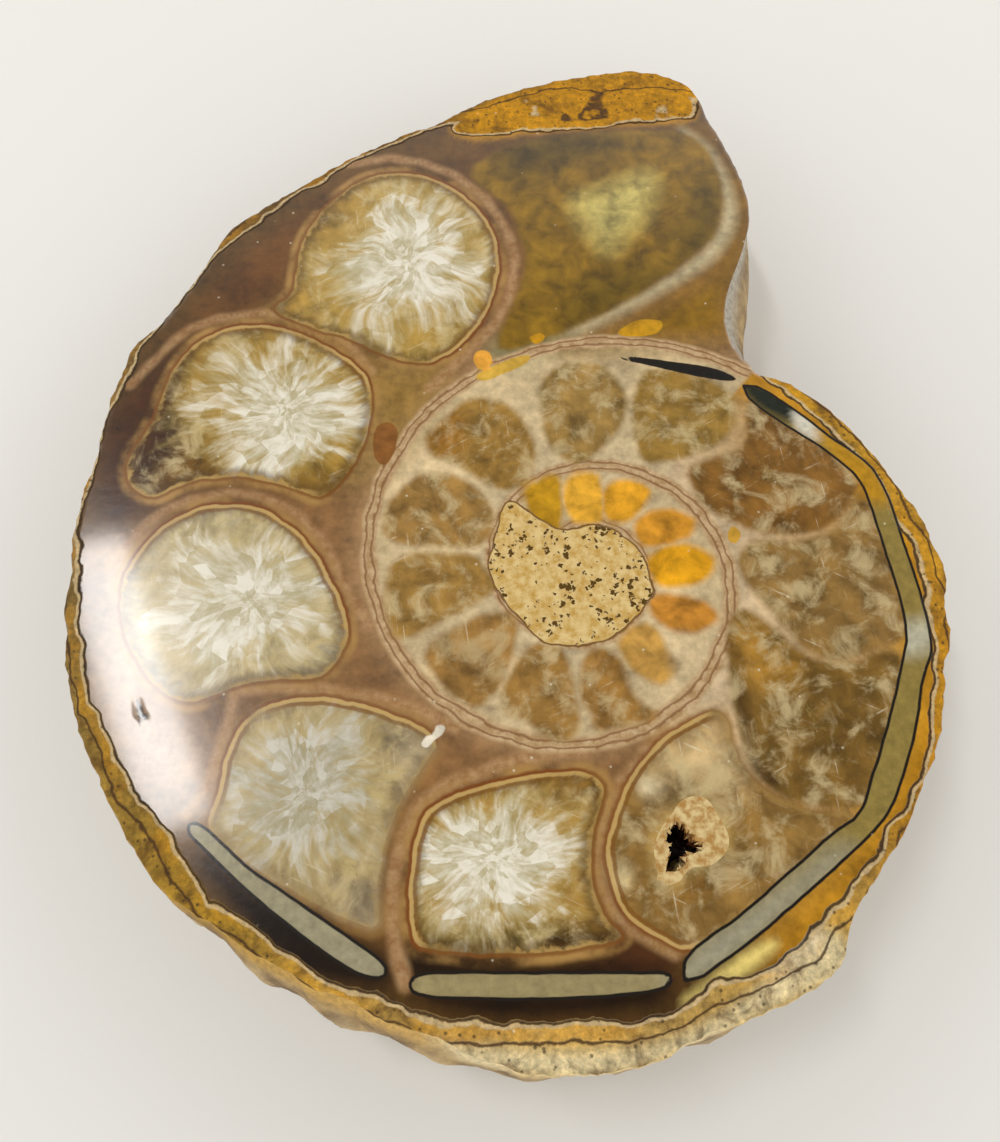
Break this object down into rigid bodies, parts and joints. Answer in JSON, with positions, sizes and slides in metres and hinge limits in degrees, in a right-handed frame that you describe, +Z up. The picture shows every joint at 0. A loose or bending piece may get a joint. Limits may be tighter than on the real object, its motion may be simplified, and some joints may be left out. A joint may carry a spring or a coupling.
{
  "type": "ammonite fossil",
  "caption": "Polished half of a coiled ammonite fossil, sawn along its middle plane, with crystal-filled chambers on the face and the ribbed shell flank beneath.",
  "frame": {"origin": "under the middle of the fossil's box, on the surface that it lies on", "axes": "+Z up, out of the polished face; +Y along the longest side, towards the mouth end of the coil; +X to the right seen from above"},
  "size_m": [0.0898, 0.1148, 0.015],
  "materials": {
    "polished_fossil": "polished calcite and limonite, brown chambers with white centres; the flank beneath is worn shell",
    "calcite_crystals": "small pale dog-tooth crystals"
  },
  "bodies": {
    "root": {"ammonite_half": "polished_fossil", "pocket_crystals": "calcite_crystals"}
  },
  "joints": []
}
